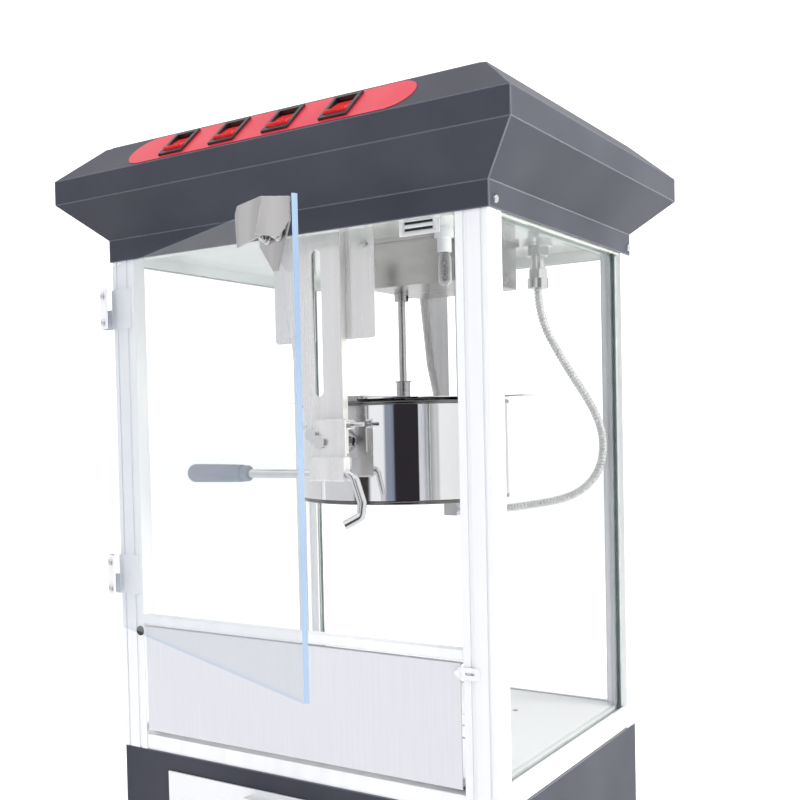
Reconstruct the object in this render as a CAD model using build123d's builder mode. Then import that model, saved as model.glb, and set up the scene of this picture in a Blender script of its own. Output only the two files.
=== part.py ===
from build123d import *
import math
import os

os.makedirs("parts", exist_ok=True)

# Popcorn maker, millimetres. X to the right, Y to the rear, Z up.
# The origin is the centre of the base housing's underside; the feet stand below it.

# ---- cabinet ----
WIDTH = 444.0            # over the outer faces of the posts
DEPTH = 352.0
HALF_W = WIDTH / 2
HALF_D = DEPTH / 2
POST = 32.0              # width of a front post
POST_REAR = 25.0
POST_D = 16.0            # depth of a post without its limb
LIMB_W = 15.0            # limb behind the post that holds the side pane
LIMB_D = 9.0
IN_X = HALF_W - POST     # inner faces of the posts
IN_Y = HALF_D - POST_D - LIMB_D
REAR_X = HALF_W - POST_REAR
FEET_H = 14.0
BASE_TOP = 130.0
RAIL_TOP = 153.0         # top of the bottom rails
FLOOR_Z = 153.0          # top of the floor deck
POST_TOP = 664.0
SHEET = 1.5              # sheet metal of the housings
GLASS = 5.0
RAIL = 14.0              # width of the rails that hold the panes
SLOT = 7.2               # channel for a pane and its two seals
PANE_LOW = 145.5         # lower edge of the panes
SEAL_Z = (154.0, 649.0)
PANE_IN = 9.0            # middle of a pane inside the posts' outer faces
PANE_X = HALF_W - PANE_IN
PANE_Y = HALF_D - PANE_IN

# ---- canopy ----
SKIRT_Z = 652.0          # lower edge of the skirt
COVE_Z = 675.0
BAND_Z = 712.0
BEVEL_Z = 737.0
TOP_Z = 772.0
OVERHANG = 39.0          # band beyond the skirt, on all four sides
SKIRT_X = HALF_W + SHEET
SKIRT_Y = HALF_D + SHEET
CEILING_Z = 662.0

# ---- control slope ----
SWITCH_X = (-101.0, -37.0, 27.0, 91.0)
SWITCH_W = 30.0
SWITCH_L = 40.0
ROCKER_W = 22.0
ROCKER_L = 30.0
SLOPE_RUN = OVERHANG
SLOPE_RISE = TOP_Z - BEVEL_Z
SLOPE_LEN = math.hypot(SLOPE_RUN, SLOPE_RISE)
SLOPE = Plane(
    origin=(0, -SKIRT_Y - OVERHANG / 2, (BEVEL_Z + TOP_Z) / 2),
    x_dir=(1, 0, 0),
    z_dir=(0, -SLOPE_RISE, SLOPE_RUN),
)

# ---- kettle ----
KETTLE_X = 33.5
KETTLE_R = 110.0
KETTLE_BOTTOM = 402.0
KETTLE_RIM = 495.0
HEATER_LOW = 392.0       # underside of the heater housing
WALL = 1.5
PIVOT_X = 28.5
PIVOT_Z = 456.0
PIN_R = 5.0
RUN_FIT = 0.06           # radial clearance of a running fit
HANGER_Y = 141.0
HANGER_LIP = 9.0
SLOT_X = 20.3            # long slot in a hanger
SLOT_MID = 571.5
SLOT_LONG = 143.0
SLOT_WIDE = 10.7
SHAFT_R = 5.0
SHAFT_TOP = 601.5
STIR_Z = 405.0           # lower end of the shaft and of the stirrer
DOG_BOTTOM = 603.0
LID_PIN_DX = 9.0
LID_Z = KETTLE_RIM + 3.5

# ---- drive box ----
BOX_X = (24.0, 140.0)
BOX_Y = 60.0
BOX_BOTTOM = 611.0

# ---- door, drop panel and drawer ----
DOOR_AXIS = (-231.0, -181.0)
DOOR_REST = 25.0         # degrees open as stored
DOOR_Z = (265.0, 642.5)
DOOR_LEN = 426.0
HINGE_Z = ((580.0, 622.0), (296.0, 338.0))
KNUCKLE_R = 3.5
PANEL_TOP = 262.0
PANEL_BOTTOM = 150.0
PANEL_AXIS = (-170.0, 156.0)
DRAWER_HALF = 150.0
DRAWER_Z = (44.0, 104.0)


def block(x, y, z, mode=Mode.ADD):
    """A box between the pairs of limits x, y and z."""
    center = ((x[0] + x[1]) / 2, (y[0] + y[1]) / 2, (z[0] + z[1]) / 2)
    with Locations(center):
        Box(x[1] - x[0], y[1] - y[0], z[1] - z[0], mode=mode)


def rod_z(x, y, z, radius, mode=Mode.ADD):
    with Locations((x, y, (z[0] + z[1]) / 2)):
        Cylinder(radius, z[1] - z[0], mode=mode)


def rod_y(x, y, z, radius, mode=Mode.ADD):
    with Locations((x, (y[0] + y[1]) / 2, z)):
        Cylinder(radius, y[1] - y[0], rotation=(90, 0, 0), mode=mode)


def rod_x(x, y, z, radius, mode=Mode.ADD):
    with Locations(((x[0] + x[1]) / 2, y, z)):
        Cylinder(radius, x[1] - x[0], rotation=(0, 90, 0), mode=mode)


def hex_nut_z(x, y, z, across_flats):
    with BuildSketch(Plane.XY.offset(z[0])) as outline:
        with Locations((x, y)):
            RegularPolygon(across_flats / 2, 6, major_radius=False)
    extrude(outline.sketch, amount=z[1] - z[0])


def write(builder, label):
    builder.part.label = label
    export_step(builder.part, f"parts/{label}.step")


# ================= base =================
def make_base():
    inlet = ((-130.0, -82.0), (40.0, 72.0))
    with BuildPart() as base_shell:
        block((-HALF_W, HALF_W), (-HALF_D, HALF_D), (0, BASE_TOP))
        block((-HALF_W + SHEET, HALF_W - SHEET), (-HALF_D + SHEET, HALF_D - SHEET),
              (SHEET, BASE_TOP + 1), mode=Mode.SUBTRACT)
        # mouth of the drawer in the front wall
        block((-DRAWER_HALF - 1, DRAWER_HALF + 1), (-HALF_D - 1, -HALF_D + 3),
              (DRAWER_Z[0] - 1, DRAWER_Z[1] + 1), mode=Mode.SUBTRACT)
        # two runners that carry the drawer
        for side in (-1, 1):
            inner, outer = sorted((side * (DRAWER_HALF - 8), side * (DRAWER_HALF + 12)))
            block((inner, outer), (-HALF_D + SHEET, HALF_D - SHEET), (SHEET, DRAWER_Z[0] - 0.4))
        # pads under the posts and the floor deck
        for sx in (-1, 1):
            for sy in (-1, 1):
                xs = sorted((sx * (HALF_W - SHEET), sx * IN_X))
                ys = sorted((sy * (HALF_D - SHEET), sy * IN_Y))
                block(xs, ys, (BASE_TOP - 12, BASE_TOP))
        block(inlet[0], (HALF_D - 3, HALF_D + 1), inlet[1], mode=Mode.SUBTRACT)
        with Locations(Plane.XY):
            with GridLocations(360, 270, 2, 2):
                Hole(3.25, depth=200)
    write(base_shell, "base_shell")

    with BuildPart() as power_inlet:
        y_out = HALF_D + 1.5
        block((inlet[0][0] - 4, inlet[0][1] + 4), (HALF_D, y_out), (inlet[1][0] - 4, inlet[1][1] + 4))
        block((inlet[0][0] + 0.5, inlet[0][1] - 0.5), (HALF_D - 22, HALF_D),
              (inlet[1][0] + 0.5, inlet[1][1] - 0.5))
        block((inlet[0][0] + 10, inlet[0][1] - 10), (HALF_D - 16, y_out + 1),
              (inlet[1][0] + 6, inlet[1][1] - 6), mode=Mode.SUBTRACT)
        for dx in (-7, 0, 7):
            x = (inlet[0][0] + inlet[0][1]) / 2 + dx
            block((x - 1, x + 1), (HALF_D - 16.5, HALF_D - 2), (53, 59))
    write(power_inlet, "power_inlet")

    with BuildPart() as rubber_feet:
        with BuildSketch(Plane.XY.offset(-FEET_H)):
            with GridLocations(400, 308, 2, 2):
                Circle(16)
        extrude(amount=FEET_H, taper=-8)
    write(rubber_feet, "rubber_feet")

    with BuildPart() as floor_deck:
        deck_y = PANE_Y - RAIL / 2 - 0.4
        block((-PANE_X + RAIL / 2 + 0.4, PANE_X - RAIL / 2 - 0.4), (-HALF_D + POST_D + 0.4, deck_y),
              (FLOOR_Z - SHEET, FLOOR_Z))
        # sieve holes that let unpopped kernels fall into the drawer
        with BuildSketch(Plane.XY.offset(FLOOR_Z - 5)):
            with GridLocations(20, 20, 13, 9):
                Circle(4)
        extrude(amount=10, mode=Mode.SUBTRACT)
    write(floor_deck, "floor_deck")


def make_drawer():
    front = (-HALF_D - 2.5, -HALF_D - 0.5)
    back = 150.0
    with BuildPart() as crumb_drawer:
        block((-DRAWER_HALF, DRAWER_HALF), (-HALF_D - 0.5, back), DRAWER_Z)
        block((-DRAWER_HALF + SHEET, DRAWER_HALF - SHEET), (-HALF_D + 1, back - SHEET),
              (DRAWER_Z[0] + SHEET, DRAWER_Z[1] + 1), mode=Mode.SUBTRACT)
        block((-DRAWER_HALF - 8, DRAWER_HALF + 8), front, (DRAWER_Z[0] - 8, DRAWER_Z[1] + 8))
        # lip bent outward along the face as a pull
        block((-45, 45), (front[0] - 16, front[0]), (DRAWER_Z[1] + 2, DRAWER_Z[1] + 4))
        block((-45, 45), (front[0] - 16, front[0] - 14), (DRAWER_Z[1] - 8, DRAWER_Z[1] + 4))
    write(crumb_drawer, "crumb_drawer")


# ================= frame =================
def post(label, sx, sy):
    """An extruded post with a limb that holds the side pane. sx and sy are the signs of its corner."""
    width = POST if sy < 0 else POST_REAR
    z = (BASE_TOP, POST_TOP)
    over = (BASE_TOP - 1, POST_TOP + 1)

    def span(sign, outer, inner):
        return sorted((sign * outer, sign * inner))

    with BuildPart() as builder:
        block(span(sx, HALF_W, HALF_W - width), span(sy, HALF_D, HALF_D - POST_D), z)
        block(span(sx, HALF_W, HALF_W - LIMB_W), span(sy, HALF_D - POST_D, IN_Y), z)
        # shallow grooves: two down the wide face, one beside the limb
        for inset, groove in ((6.0, 2.0), (21.0, 3.5)):
            if inset + groove < width:
                block(span(sx, HALF_W - inset, HALF_W - inset - groove),
                      span(sy, HALF_D - 0.9, HALF_D + 1), over, mode=Mode.SUBTRACT)
        block(span(sx, HALF_W - 0.9, HALF_W + 1),
              span(sy, HALF_D - POST_D + 1, HALF_D - POST_D - 1), over, mode=Mode.SUBTRACT)
        # channel for the side pane, and in a rear post one for the rear pane
        block(span(sx, PANE_X + SLOT / 2, PANE_X - SLOT / 2), span(sy, IN_Y + 8.0, IN_Y - 1), over,
              mode=Mode.SUBTRACT)
        if sy > 0:
            block(span(sx, REAR_X + 8.0, REAR_X - 1), (PANE_Y - SLOT / 2, PANE_Y + SLOT / 2), over,
                  mode=Mode.SUBTRACT)
        fillet(builder.edges().filter_by(Axis.Z).group_by(
            lambda e: abs(e.center().X) + abs(e.center().Y))[-1], 1.5)
        if sy < 0:
            # blind hole for the drop panel's pin
            rod_x(span(sx, IN_X + 11, IN_X - 1), *PANEL_AXIS, 2.0 + RUN_FIT, mode=Mode.SUBTRACT)
    write(builder, label)


def make_frame():
    post("post_front_left", -1, -1)
    post("post_front_right", 1, -1)
    post("post_rear_left", -1, 1)
    post("post_rear_right", 1, 1)

    # rails along the sides and the rear, each with a channel for its pane
    for label, z, channel in (
        ("top_rails", (650, CEILING_Z), (645, 656)),
        ("bottom_rails", (BASE_TOP, RAIL_TOP), (PANE_LOW - 0.5, RAIL_TOP + 1)),
    ):
        with BuildPart() as rails:
            for x in (-PANE_X, PANE_X):
                block((x - RAIL / 2, x + RAIL / 2), (-IN_Y, IN_Y), z)
                block((x - SLOT / 2, x + SLOT / 2), (-IN_Y - 1, IN_Y + 1), channel, mode=Mode.SUBTRACT)
            block((-REAR_X, REAR_X), (PANE_Y - RAIL / 2, PANE_Y + RAIL / 2), z)
            block((-REAR_X - 1, REAR_X + 1), (PANE_Y - SLOT / 2, PANE_Y + SLOT / 2), channel,
                  mode=Mode.SUBTRACT)
            if label == "top_rails":
                block((-IN_X, IN_X), (-HALF_D + 3, -HALF_D + 15), (SKIRT_Z + 1, CEILING_Z))
            else:
                block((-IN_X, IN_X), (-HALF_D + 1, -HALF_D + POST_D), (BASE_TOP, PANEL_BOTTOM - 4))
                # ledges under the floor deck
                for side in (-1, 1):
                    foot = PANE_X - RAIL / 2
                    ledge = sorted((side * foot, side * (foot - 8)))
                    block(ledge, (-IN_Y, IN_Y), (FLOOR_Z - SHEET - 6, FLOOR_Z - SHEET))
        write(rails, label)

    with BuildPart() as front_sill:
        block((-IN_X, IN_X), (-HALF_D, -HALF_D + 12), (264, 274))
        block((-IN_X - 1, IN_X + 1), (-HALF_D - 1, -HALF_D + 1.2), (263, 265.5), mode=Mode.SUBTRACT)
    write(front_sill, "front_sill")

    z = (PANE_LOW, 655)
    reach_y = IN_Y + 7
    reach_x = REAR_X + 7
    with BuildPart() as side_panes:
        for side in (-1, 1):
            block((side * PANE_X - GLASS / 2, side * PANE_X + GLASS / 2), (-reach_y, reach_y), z)
    write(side_panes, "side_panes")
    with BuildPart() as rear_pane:
        block((-reach_x, reach_x), (PANE_Y - GLASS / 2, PANE_Y + GLASS / 2), z)
    write(rear_pane, "rear_pane")

    # a rubber strip on each face of a pane, between the pane and the channel of the post
    seal = 1.0
    with BuildPart() as pane_seals:
        for side in (-1, 1):
            for face in (-1, 1):
                x = side * PANE_X + face * (GLASS / 2 + seal / 2)
                for end in (-1, 1):
                    ys = sorted((end * (IN_Y - 2), end * (IN_Y + 6)))
                    block((x - seal / 2, x + seal / 2), ys, SEAL_Z)
                y = PANE_Y + face * (GLASS / 2 + seal / 2)
                xs = sorted((side * (REAR_X - 2), side * (REAR_X + 6)))
                block(xs, (y - seal / 2, y + seal / 2), SEAL_Z)
    write(pane_seals, "pane_seals")


# ================= canopy =================
def canopy_solid(inset, mode):
    """The canopy's outer shape, or with an inset its hollow."""
    x = SKIRT_X - inset
    y = SKIRT_Y - inset
    for z0, z1, out0, out1 in (
        (SKIRT_Z - inset, COVE_Z, 0, 0),
        (COVE_Z, BAND_Z, 0, OVERHANG),
        (BAND_Z, BEVEL_Z, OVERHANG, OVERHANG),
        (BEVEL_Z, TOP_Z, OVERHANG, 0),
    ):
        with BuildSketch(Plane.XY.offset(z0)) as lower:
            Rectangle(2 * (x + out0), 2 * (y + out0))
        with BuildSketch(Plane.XY.offset(z1)) as upper:
            Rectangle(2 * (x + out1), 2 * (y + out1))
        loft([lower.sketch.face(), upper.sketch.face()], mode=mode)


def canopy_panel(label, plan, switches=False):
    """One side of the canopy: the shell cut by mitres that run in at 45 degrees."""
    with BuildPart() as builder:
        canopy_solid(0, Mode.ADD)
        canopy_solid(SHEET, Mode.SUBTRACT)
        # a narrow flange carries the top
        with BuildSketch(Plane.XY.offset(TOP_Z - SHEET)):
            Rectangle(2 * HALF_W + 2, 2 * HALF_D + 2)
            Rectangle(2 * HALF_W - 28, 2 * HALF_D - 28, mode=Mode.SUBTRACT)
        extrude(amount=SHEET)
        with BuildSketch(Plane.XY.offset(SKIRT_Z - 5)):
            with BuildLine():
                Polyline(*plan, close=True)
            make_face()
        extrude(amount=TOP_Z - SKIRT_Z + 10, mode=Mode.INTERSECT)
        if switches:
            with BuildSketch(SLOPE):
                with Locations([(x, 0) for x in SWITCH_X]):
                    Rectangle(SWITCH_W - 4, SWITCH_L - 4)
            extrude(amount=4, both=True, mode=Mode.SUBTRACT)
    write(builder, label)


def make_canopy():
    ex = SKIRT_X + OVERHANG
    ey = SKIRT_Y + OVERHANG
    ridge = ex - ey
    canopy_panel("canopy_front", [(-ex, -ey), (ex, -ey), (ridge, 0), (-ridge, 0)], switches=True)
    canopy_panel("canopy_rear", [(-ex, ey), (-ridge, 0), (ridge, 0), (ex, ey)])
    canopy_panel("canopy_left", [(-ex, -ey), (-ridge, 0), (-ex, ey)])
    canopy_panel("canopy_right", [(ex, -ey), (ex, ey), (ridge, 0)])

    with BuildPart() as canopy_top:
        block((-HALF_W + 1, HALF_W - 1), (-HALF_D + 1, HALF_D - 1), (TOP_Z, TOP_Z + SHEET))
        fillet(canopy_top.edges().filter_by(Axis.Z), 6)
    write(canopy_top, "canopy_top")

    with BuildPart() as ceiling_plate:
        block((-PANE_X + RAIL / 2 + 0.5, PANE_X - RAIL / 2 - 0.5),
              (-HALF_D + POST_D + 0.5, PANE_Y - RAIL / 2 - 0.5), (CEILING_Z - 1.5, CEILING_Z))
        rod_z(KETTLE_X, 0, (CEILING_Z - 3, CEILING_Z + 3), 30, mode=Mode.SUBTRACT)
    write(ceiling_plate, "ceiling_plate")

    # round-headed screws at the ends of the side skirts
    with BuildPart() as canopy_screws:
        for side in (-1, 1):
            for y in (-HALF_D + 10, HALF_D - 6):
                rod_x(sorted((side * SKIRT_X, side * (SKIRT_X + 2.4))), y, 660, 4.0)
        fillet(canopy_screws.edges().filter_by(GeomType.CIRCLE).group_by(
            lambda e: abs(e.center().X))[-1], 1.8)
    write(canopy_screws, "canopy_screws")


def make_controls():
    skin = 0.6
    with BuildPart() as control_label:
        with BuildSketch(SLOPE.offset(0.05)):
            SlotOverall(332, SLOPE_LEN - 4)
            with Locations([(x, 0) for x in SWITCH_X]):
                Rectangle(SWITCH_W - 4, SWITCH_L - 4, mode=Mode.SUBTRACT)
        extrude(amount=skin - 0.05)
    write(control_label, "control_label")

    with BuildPart() as switch_bezels:
        with BuildSketch(SLOPE.offset(skin)):
            with Locations([(x, 0) for x in SWITCH_X]):
                Rectangle(SWITCH_W, SWITCH_L)
                Rectangle(ROCKER_W + 0.8, ROCKER_L + 0.8, mode=Mode.SUBTRACT)
        extrude(amount=2.2)
        with BuildSketch(SLOPE.offset(-14)):
            with Locations([(x, 0) for x in SWITCH_X]):
                Rectangle(SWITCH_W - 4.6, SWITCH_L - 4.6)
                Rectangle(ROCKER_W + 0.8, ROCKER_L + 0.8, mode=Mode.SUBTRACT)
        extrude(amount=14 + skin)
        with BuildSketch(SLOPE.offset(-16)):
            with Locations([(x, 0) for x in SWITCH_X]):
                Rectangle(SWITCH_W - 4.6, SWITCH_L - 4.6)
        extrude(amount=2)
        for x in SWITCH_X:
            pin = SLOPE.from_local_coords((x, 0, -3))
            rod_x((x - SWITCH_W / 2 + 2, x + SWITCH_W / 2 - 2), pin.Y, pin.Z, 1.4)
    write(switch_bezels, "switch_bezels")

    names = ("light_rocker", "warmer_rocker", "motor_rocker", "kettle_rocker")
    for name, x in zip(names, SWITCH_X):
        # a section across the rocker: its lower half stands proud, its upper half is pressed in
        section = Plane(origin=SLOPE.from_local_coords((x - ROCKER_W / 2, 0, 0)),
                        x_dir=SLOPE.y_dir, z_dir=(1, 0, 0))
        with BuildPart() as rocker:
            with BuildSketch(section):
                with BuildLine():
                    Polyline((-12.8, 5.5), (0, 1.0), (13.6, -1.4), (12.6, -5.0), (6, -7.5),
                             (-6, -7.5), (-12.6, -4.0), close=True)
                make_face()
            extrude(amount=ROCKER_W)
            pin = SLOPE.from_local_coords((x, 0, -3))
            rod_x((x - ROCKER_W, x + ROCKER_W), pin.Y, pin.Z, 1.4 + RUN_FIT, mode=Mode.SUBTRACT)
        write(rocker, name)


# ================= drive =================
def make_drive():
    with BuildPart() as drive_box:
        block(BOX_X, (-BOX_Y, BOX_Y), (BOX_BOTTOM, CEILING_Z - 1.5))
        block((BOX_X[0] + 1.2, BOX_X[1] - 1.2), (-BOX_Y + 1.2, BOX_Y - 1.2),
              (BOX_BOTTOM + 1.2, CEILING_Z), mode=Mode.SUBTRACT)
        fillet(drive_box.faces().sort_by(Axis.Z)[0].edges().filter_by(Axis.Y), 1.0)
        rod_z(KETTLE_X, 0, (BOX_BOTTOM - 2, BOX_BOTTOM + 3), 8, mode=Mode.SUBTRACT)
        # folded lips that screw to the ceiling
        for side in (-1, 1):
            block((BOX_X[0] - 3, BOX_X[1] + 3), sorted((side * BOX_Y, side * (BOX_Y + 3))),
                  (CEILING_Z - 6, CEILING_Z - 1.5))
    write(drive_box, "drive_box")

    with BuildPart() as gear_motor:
        block((KETTLE_X - 6, 96), (-26, 26), (622, 650))
        rod_x((96, 132), 0, 636, 21)
        rod_z(KETTLE_X, 0, (621, 652), 5, mode=Mode.SUBTRACT)
    write(gear_motor, "gear_motor")

    # output dog: its slot runs along X, so that the tang leaves it sideways as the kettle tips
    with BuildPart() as motor_dog:
        rod_z(KETTLE_X, 0, (DOG_BOTTOM, 620.5), 7.5)
        rod_z(KETTLE_X, 0, (620.5, 645), 5 - RUN_FIT)
        block((KETTLE_X - 12, KETTLE_X + 12), (-2.2, 2.2), (DOG_BOTTOM - 1, DOG_BOTTOM + 6),
              mode=Mode.SUBTRACT)
    write(motor_dog, "motor_dog")

    with BuildPart() as drive_shaft:
        rod_z(KETTLE_X, 0, (STIR_Z, SHAFT_TOP), SHAFT_R)
        block((KETTLE_X - 4.5, KETTLE_X + 4.5), (-1.6, 1.6), (SHAFT_TOP, 607))
        # collar that stands on the bearing sleeve
        rod_z(KETTLE_X, 0, (516.3, 517.5), 9.5)
    write(drive_shaft, "drive_shaft")

    with BuildPart() as stirrer:
        rod_z(KETTLE_X, 0, (STIR_Z, STIR_Z + 12), 9)
        for turn in (0, 180):
            with BuildSketch(Plane.XY.offset(STIR_Z)):
                with BuildLine():
                    reach = 96
                    tip = (KETTLE_X + reach * math.cos(math.radians(turn + 32)),
                           reach * math.sin(math.radians(turn + 32)))
                    mid = (KETTLE_X + 55 * math.cos(math.radians(turn + 8)),
                           55 * math.sin(math.radians(turn + 8)))
                    arm = ThreePointArc((KETTLE_X, 0), mid, tip)
                    offset(arm, amount=3, side=Side.BOTH)
                make_face()
            extrude(amount=9)
        rod_z(KETTLE_X, 0, (STIR_Z - 3, STIR_Z + 17), SHAFT_R, mode=Mode.SUBTRACT)
    write(stirrer, "stirrer")


# ================= hangers =================
def hanger(label, side):
    """A tapered channel with a long slot; side is -1 for the front one."""
    outline = [(-22, CEILING_Z - 1.5), (48, CEILING_Z - 1.5), (48, 444), (42, 438), (16, 438),
               (9, 446), (2, 484), (-10, 540)]
    with BuildPart() as builder:
        with BuildSketch(Plane.XZ.offset(-side * HANGER_Y)):
            with BuildLine():
                Polyline(*outline, close=True)
            make_face()
            with Locations((SLOT_X, SLOT_MID)):
                SlotOverall(SLOT_LONG, SLOT_WIDE, rotation=90, mode=Mode.SUBTRACT)
            with Locations((PIVOT_X, PIVOT_Z)):
                Circle(PIN_R + RUN_FIT, mode=Mode.SUBTRACT)
        extrude(amount=side * 2)
        # lips turned towards the kettle along both edges
        ys = sorted((side * (HANGER_Y - HANGER_LIP), side * (HANGER_Y - 2)))
        block((46, 48), ys, (444, CEILING_Z - 1.5))
        with BuildSketch(Plane.XZ.offset(-side * (HANGER_Y - 2))):
            with BuildLine():
                Polyline((-22, CEILING_Z - 1.5), (-10, 540), (2, 484), (9, 446), (11, 446),
                         (4, 484), (-8, 540), (-20, CEILING_Z - 1.5), close=True)
            make_face()
        extrude(amount=side * (HANGER_LIP - 2))
        rod_x((-10, 50), side * (HANGER_Y - 5), 472, 2.3, mode=Mode.SUBTRACT)
    write(builder, label)


def make_hangers():
    hanger("hanger_front", -1)
    hanger("hanger_rear", 1)

    # wide plates screwed between the ceiling and the hangers
    with BuildPart() as hanger_plates:
        for side, low in ((-1, 554.5), (1, 623)):
            face = side * (HANGER_Y - HANGER_LIP)
            with BuildSketch(Plane.XZ.offset(-face)):
                with Locations((21.5, (low + CEILING_Z - 1.5) / 2)):
                    Rectangle(118, CEILING_Z - 1.5 - low)
                fillet(vertices().group_by(Axis.Z)[0], 4)
                # cut out behind the hanger's slot
                with Locations((SLOT_X, SLOT_MID)):
                    SlotOverall(SLOT_LONG + 8, SLOT_WIDE + 8, rotation=90, mode=Mode.SUBTRACT)
            extrude(amount=side * 1.5)
    write(hanger_plates, "hanger_plates")

    with BuildPart() as hanger_bolts:
        for side in (-1, 1):
            # cross bolt through both lips of a hanger, with a nut and the thread's end beyond it
            y = side * (HANGER_Y - 5)
            rod_x((0, 68), y, 472, 2.2)
            rod_x((48, 56), y, 472, 5.0)
            rod_x((-2.5, 3.3), y, 472, 4.0)
            # screws through the plate into the hanger
            for x, z in ((-28, 645), (70, 645)):
                plate = HANGER_Y - HANGER_LIP
                rod_y(x, sorted((side * plate, side * (plate + 2.2))), z, 4.0)
    write(hanger_bolts, "hanger_bolts")


# ================= kettle =================
def make_kettle():
    with BuildPart() as kettle_pot:
        rod_z(KETTLE_X, 0, (KETTLE_BOTTOM, KETTLE_RIM), KETTLE_R)
        fillet(kettle_pot.edges().filter_by(GeomType.CIRCLE).sort_by(Axis.Z)[0], 3)
        rod_z(KETTLE_X, 0, (KETTLE_BOTTOM + 2, KETTLE_RIM + 1), KETTLE_R - WALL, mode=Mode.SUBTRACT)
    write(kettle_pot, "kettle_pot")

    with BuildPart() as kettle_base:
        rod_z(KETTLE_X, 0, (HEATER_LOW, KETTLE_BOTTOM), KETTLE_R - 2)
        rod_z(KETTLE_X, 0, (HEATER_LOW + 1.2, KETTLE_BOTTOM + 1), KETTLE_R - 3.2, mode=Mode.SUBTRACT)
    write(kettle_base, "kettle_base")

    with BuildPart() as kettle_heater:
        with Locations((KETTLE_X, 0, HEATER_LOW + 5.5)):
            Torus(70, 4)
            Torus(45, 4)
    write(kettle_heater, "kettle_heater")

    with BuildPart() as kettle_gland:
        hex_nut_z(44, 90, (380, HEATER_LOW), 17)
        block((36, 52), (82, 98), (366, 380))
        rod_x((52, 58), 90, 373, 6.5)
    write(kettle_gland, "kettle_gland")

    bar_z = (KETTLE_RIM, KETTLE_RIM + 2.5)
    with BuildPart() as kettle_crossbar:
        block((KETTLE_X - 4.5, KETTLE_X + 4.5), (-KETTLE_R, KETTLE_R), bar_z)
        rod_z(KETTLE_X, 0, (KETTLE_RIM, 516), 7.5)
        rod_z(KETTLE_X, 0, (KETTLE_RIM - 1, 517), SHAFT_R + RUN_FIT, mode=Mode.SUBTRACT)
        # a rod along each edge carries one half of the lid
        for side in (-1, 1):
            x = KETTLE_X + side * LID_PIN_DX
            for y in (-KETTLE_R + 2, KETTLE_R - 2):
                block(sorted((KETTLE_X, x + side * 2)), (y - 2, y + 2), (KETTLE_RIM, LID_Z + 2))
            rod_y(x, (-KETTLE_R + 3, KETTLE_R - 3), LID_Z, 1.5)
    write(kettle_crossbar, "kettle_crossbar")

    for label, side in (("lid_left", -1), ("lid_right", 1)):
        x_pin = KETTLE_X + side * LID_PIN_DX
        with BuildPart() as lid:
            with BuildSketch(Plane.XY.offset(LID_Z - 1.5)):
                with Locations((KETTLE_X, 0)):
                    Circle(KETTLE_R + 2)
                    with Locations((side * (KETTLE_R + 16), 0)):
                        Rectangle(36, 24)
                with Locations((x_pin - side * 150 + side * 1.0, 0)):
                    Rectangle(300, 300, mode=Mode.SUBTRACT)
            extrude(amount=1.0)
            for y in ((-100, -14), (14, 100)):
                rod_y(x_pin, y, LID_Z, 2.6)
                rod_y(x_pin, y, LID_Z, 1.5 + RUN_FIT, mode=Mode.SUBTRACT)
            # room for the crossbar's rod and ears
            rod_y(x_pin, (-KETTLE_R, -100), LID_Z, 2.6, mode=Mode.SUBTRACT)
            rod_y(x_pin, (100, KETTLE_R), LID_Z, 2.6, mode=Mode.SUBTRACT)
            rod_y(x_pin, (-14, 14), LID_Z, 2.6, mode=Mode.SUBTRACT)
            for y in (-KETTLE_R + 2, KETTLE_R - 2):
                block((x_pin - 4, x_pin + 4), (y - 5, y + 5), (KETTLE_RIM - 1, LID_Z + 3),
                      mode=Mode.SUBTRACT)
            rod_z(KETTLE_X, 0, (KETTLE_RIM - 2, LID_Z + 4), 11, mode=Mode.SUBTRACT)
        write(lid, label)

    wall_y = math.sqrt(KETTLE_R ** 2 - (KETTLE_X - PIVOT_X) ** 2)
    with BuildPart() as trunnion_pins:
        rod_y(PIVOT_X, (-156, -wall_y + 0.5), PIVOT_Z, PIN_R)
        rod_y(PIVOT_X, (-wall_y - 4, -wall_y + 0.8), PIVOT_Z, 12)
        rod_y(PIVOT_X, (-156, -152.5), PIVOT_Z, 6.5)
        rod_y(PIVOT_X, (wall_y - 0.5, 150), PIVOT_Z, PIN_R)
        rod_y(PIVOT_X, (wall_y - 0.8, wall_y + 4), PIVOT_Z, 12)
        rod_y(PIVOT_X, (144, 147), PIVOT_Z, 8)
        # clamp screw at the left edge of the handle's plate
        rod_y(19, (-155, -148), 463, 3)
        rod_y(19, (-156, -152.5), 463, 6)
        # the bosses fit the pot's wall
        rod_z(KETTLE_X, 0, (PIVOT_Z - 20, PIVOT_Z + 20), KETTLE_R + 0.02, mode=Mode.SUBTRACT)
    write(trunnion_pins, "trunnion_pins")

    rod_z_centre = 425.0
    with BuildPart() as handle_bracket:
        block((17, 57), (-152.5, -149.5), (441, 477.5))
        fillet(handle_bracket.edges().filter_by(Axis.Y), 2)
        block((17, 57), (-156, -144), (418, 441))
        fillet(handle_bracket.edges().filter_by(Axis.X).group_by(Axis.Z)[0], 2)
        rod_x((10, 60), -150, rod_z_centre, 4.55, mode=Mode.SUBTRACT)
        rod_y(PIVOT_X, (-160, -140), PIVOT_Z, PIN_R + 0.05, mode=Mode.SUBTRACT)
        rod_y(19, (-160, -140), 463, 3.05, mode=Mode.SUBTRACT)
    write(handle_bracket, "handle_bracket")

    with BuildPart() as handle_rod:
        with BuildLine() as path:
            FilletPolyline((-100, -150, rod_z_centre), (64, -150, rod_z_centre), (74, -151, 398),
                           (74, -154, 385), (62, -164, 377), radius=(9, 9, 5))
        with BuildSketch(Plane(origin=path.line @ 0, z_dir=path.line % 0)):
            Circle(4.5)
        sweep(transition=Transition.ROUND)
    write(handle_rod, "handle_rod")

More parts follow.
